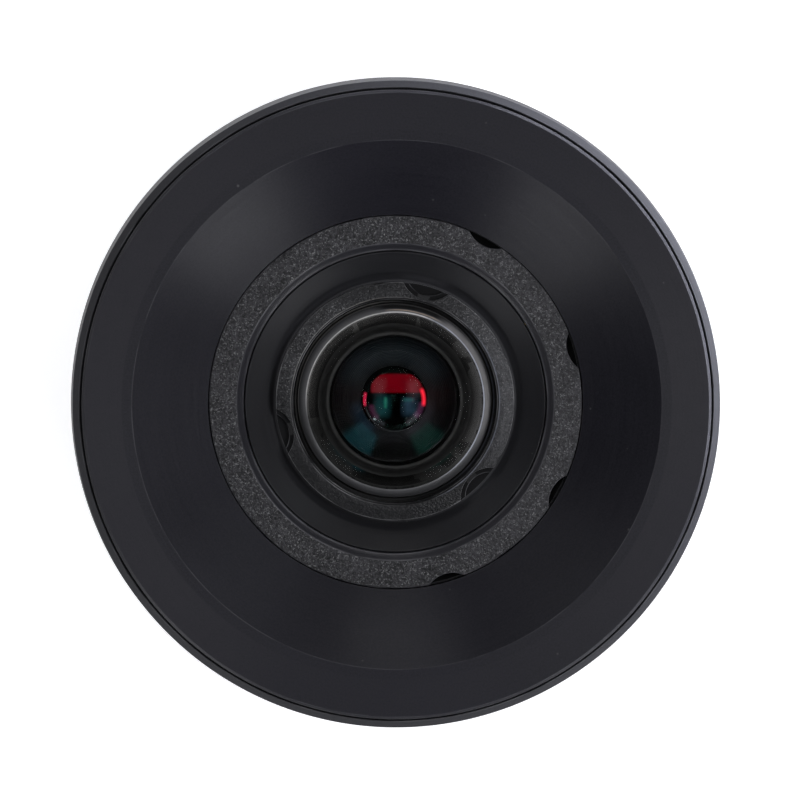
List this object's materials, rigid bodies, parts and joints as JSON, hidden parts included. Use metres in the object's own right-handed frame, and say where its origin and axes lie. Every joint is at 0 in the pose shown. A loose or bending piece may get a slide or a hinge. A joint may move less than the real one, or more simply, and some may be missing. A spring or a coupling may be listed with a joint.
{
  "type": "board camera lens",
  "caption": "Small screw-in camera lens in a wide round hood, focused by turning a grained ring inside the hood's cone.",
  "frame": {"origin": "centre of the M12 stem at the shoulder that seats on the camera", "axes": "+Z along the optical axis towards the scene; +X to the right and +Y up in the front view"},
  "size_m": [0.0408, 0.0408, 0.024],
  "materials": {
    "bezel_black": "satin black anodised",
    "sleeve_black": "satin black anodised",
    "housing_black": "fine moulded black",
    "stem_black": "black anodised, threaded",
    "ring_grain": "coarse spark-eroded grain",
    "retainer_grain": "fine spark-eroded grain",
    "carrier_black": "smooth black anodised",
    "barrel_black": "matt black anodised",
    "seal_rubber": "matt",
    "front_glass": "polished and coated",
    "second_glass": "polished, red and teal coating",
    "inner_glass": "polished and coated",
    "filter_glass": "polished, cuts infrared",
    "screw_steel": "black zinc",
    "pin_steel": "ground",
    "pin_brass": "turned",
    "spring_steel": "rolled",
    "washer_white": "smooth, slippery",
    "stop_black": "matt black"
  },
  "bodies": {
    "housing": {"hood_bezel": "bezel_black", "outer_sleeve": "sleeve_black", "rear_housing": "housing_black", "mount_stem": "stem_black", "housing_screws": "screw_steel", "bezel_o_ring": "seal_rubber", "thrust_washer": "washer_white", "wave_washer": "spring_steel", "stop_pin": "pin_steel", "guide_pins": "pin_steel"},
    "focus": {"focus_ring": "ring_grain", "follower_pins": "pin_brass"},
    "optics": {"lens_carrier": "carrier_black", "lens_barrel": "barrel_black", "barrel_lock_ring": "barrel_black", "front_retaining_ring": "retainer_grain", "front_seal": "seal_rubber", "front_element": "front_glass", "front_spacer": "barrel_black", "second_element": "second_glass", "third_element": "inner_glass", "stop_front_spacer": "barrel_black", "aperture_stop": "stop_black", "stop_rear_spacer": "barrel_black", "doublet_crown": "inner_glass", "doublet_flint": "inner_glass", "rear_spacer": "barrel_black", "rear_element": "inner_glass", "rear_retaining_ring": "barrel_black", "ir_cut_filter": "filter_glass"}
  },
  "joints": [
    {"name": "focus_turn", "type": "hinge", "parent": "housing", "child": "focus", "pos_m": [0, 0, 0.011], "axis": [0, 0, 1], "range_deg": [-50, 50]},
    {"name": "focus_travel", "type": "slide", "parent": "housing", "child": "optics", "axis": [0, 0, 1], "range_m": [-0.0004166, 0.0004166]}
  ],
  "couplings": [
    {"joint": "focus_turn", "follows": "focus_travel", "rad_per_m": 2094.4}
  ]
}
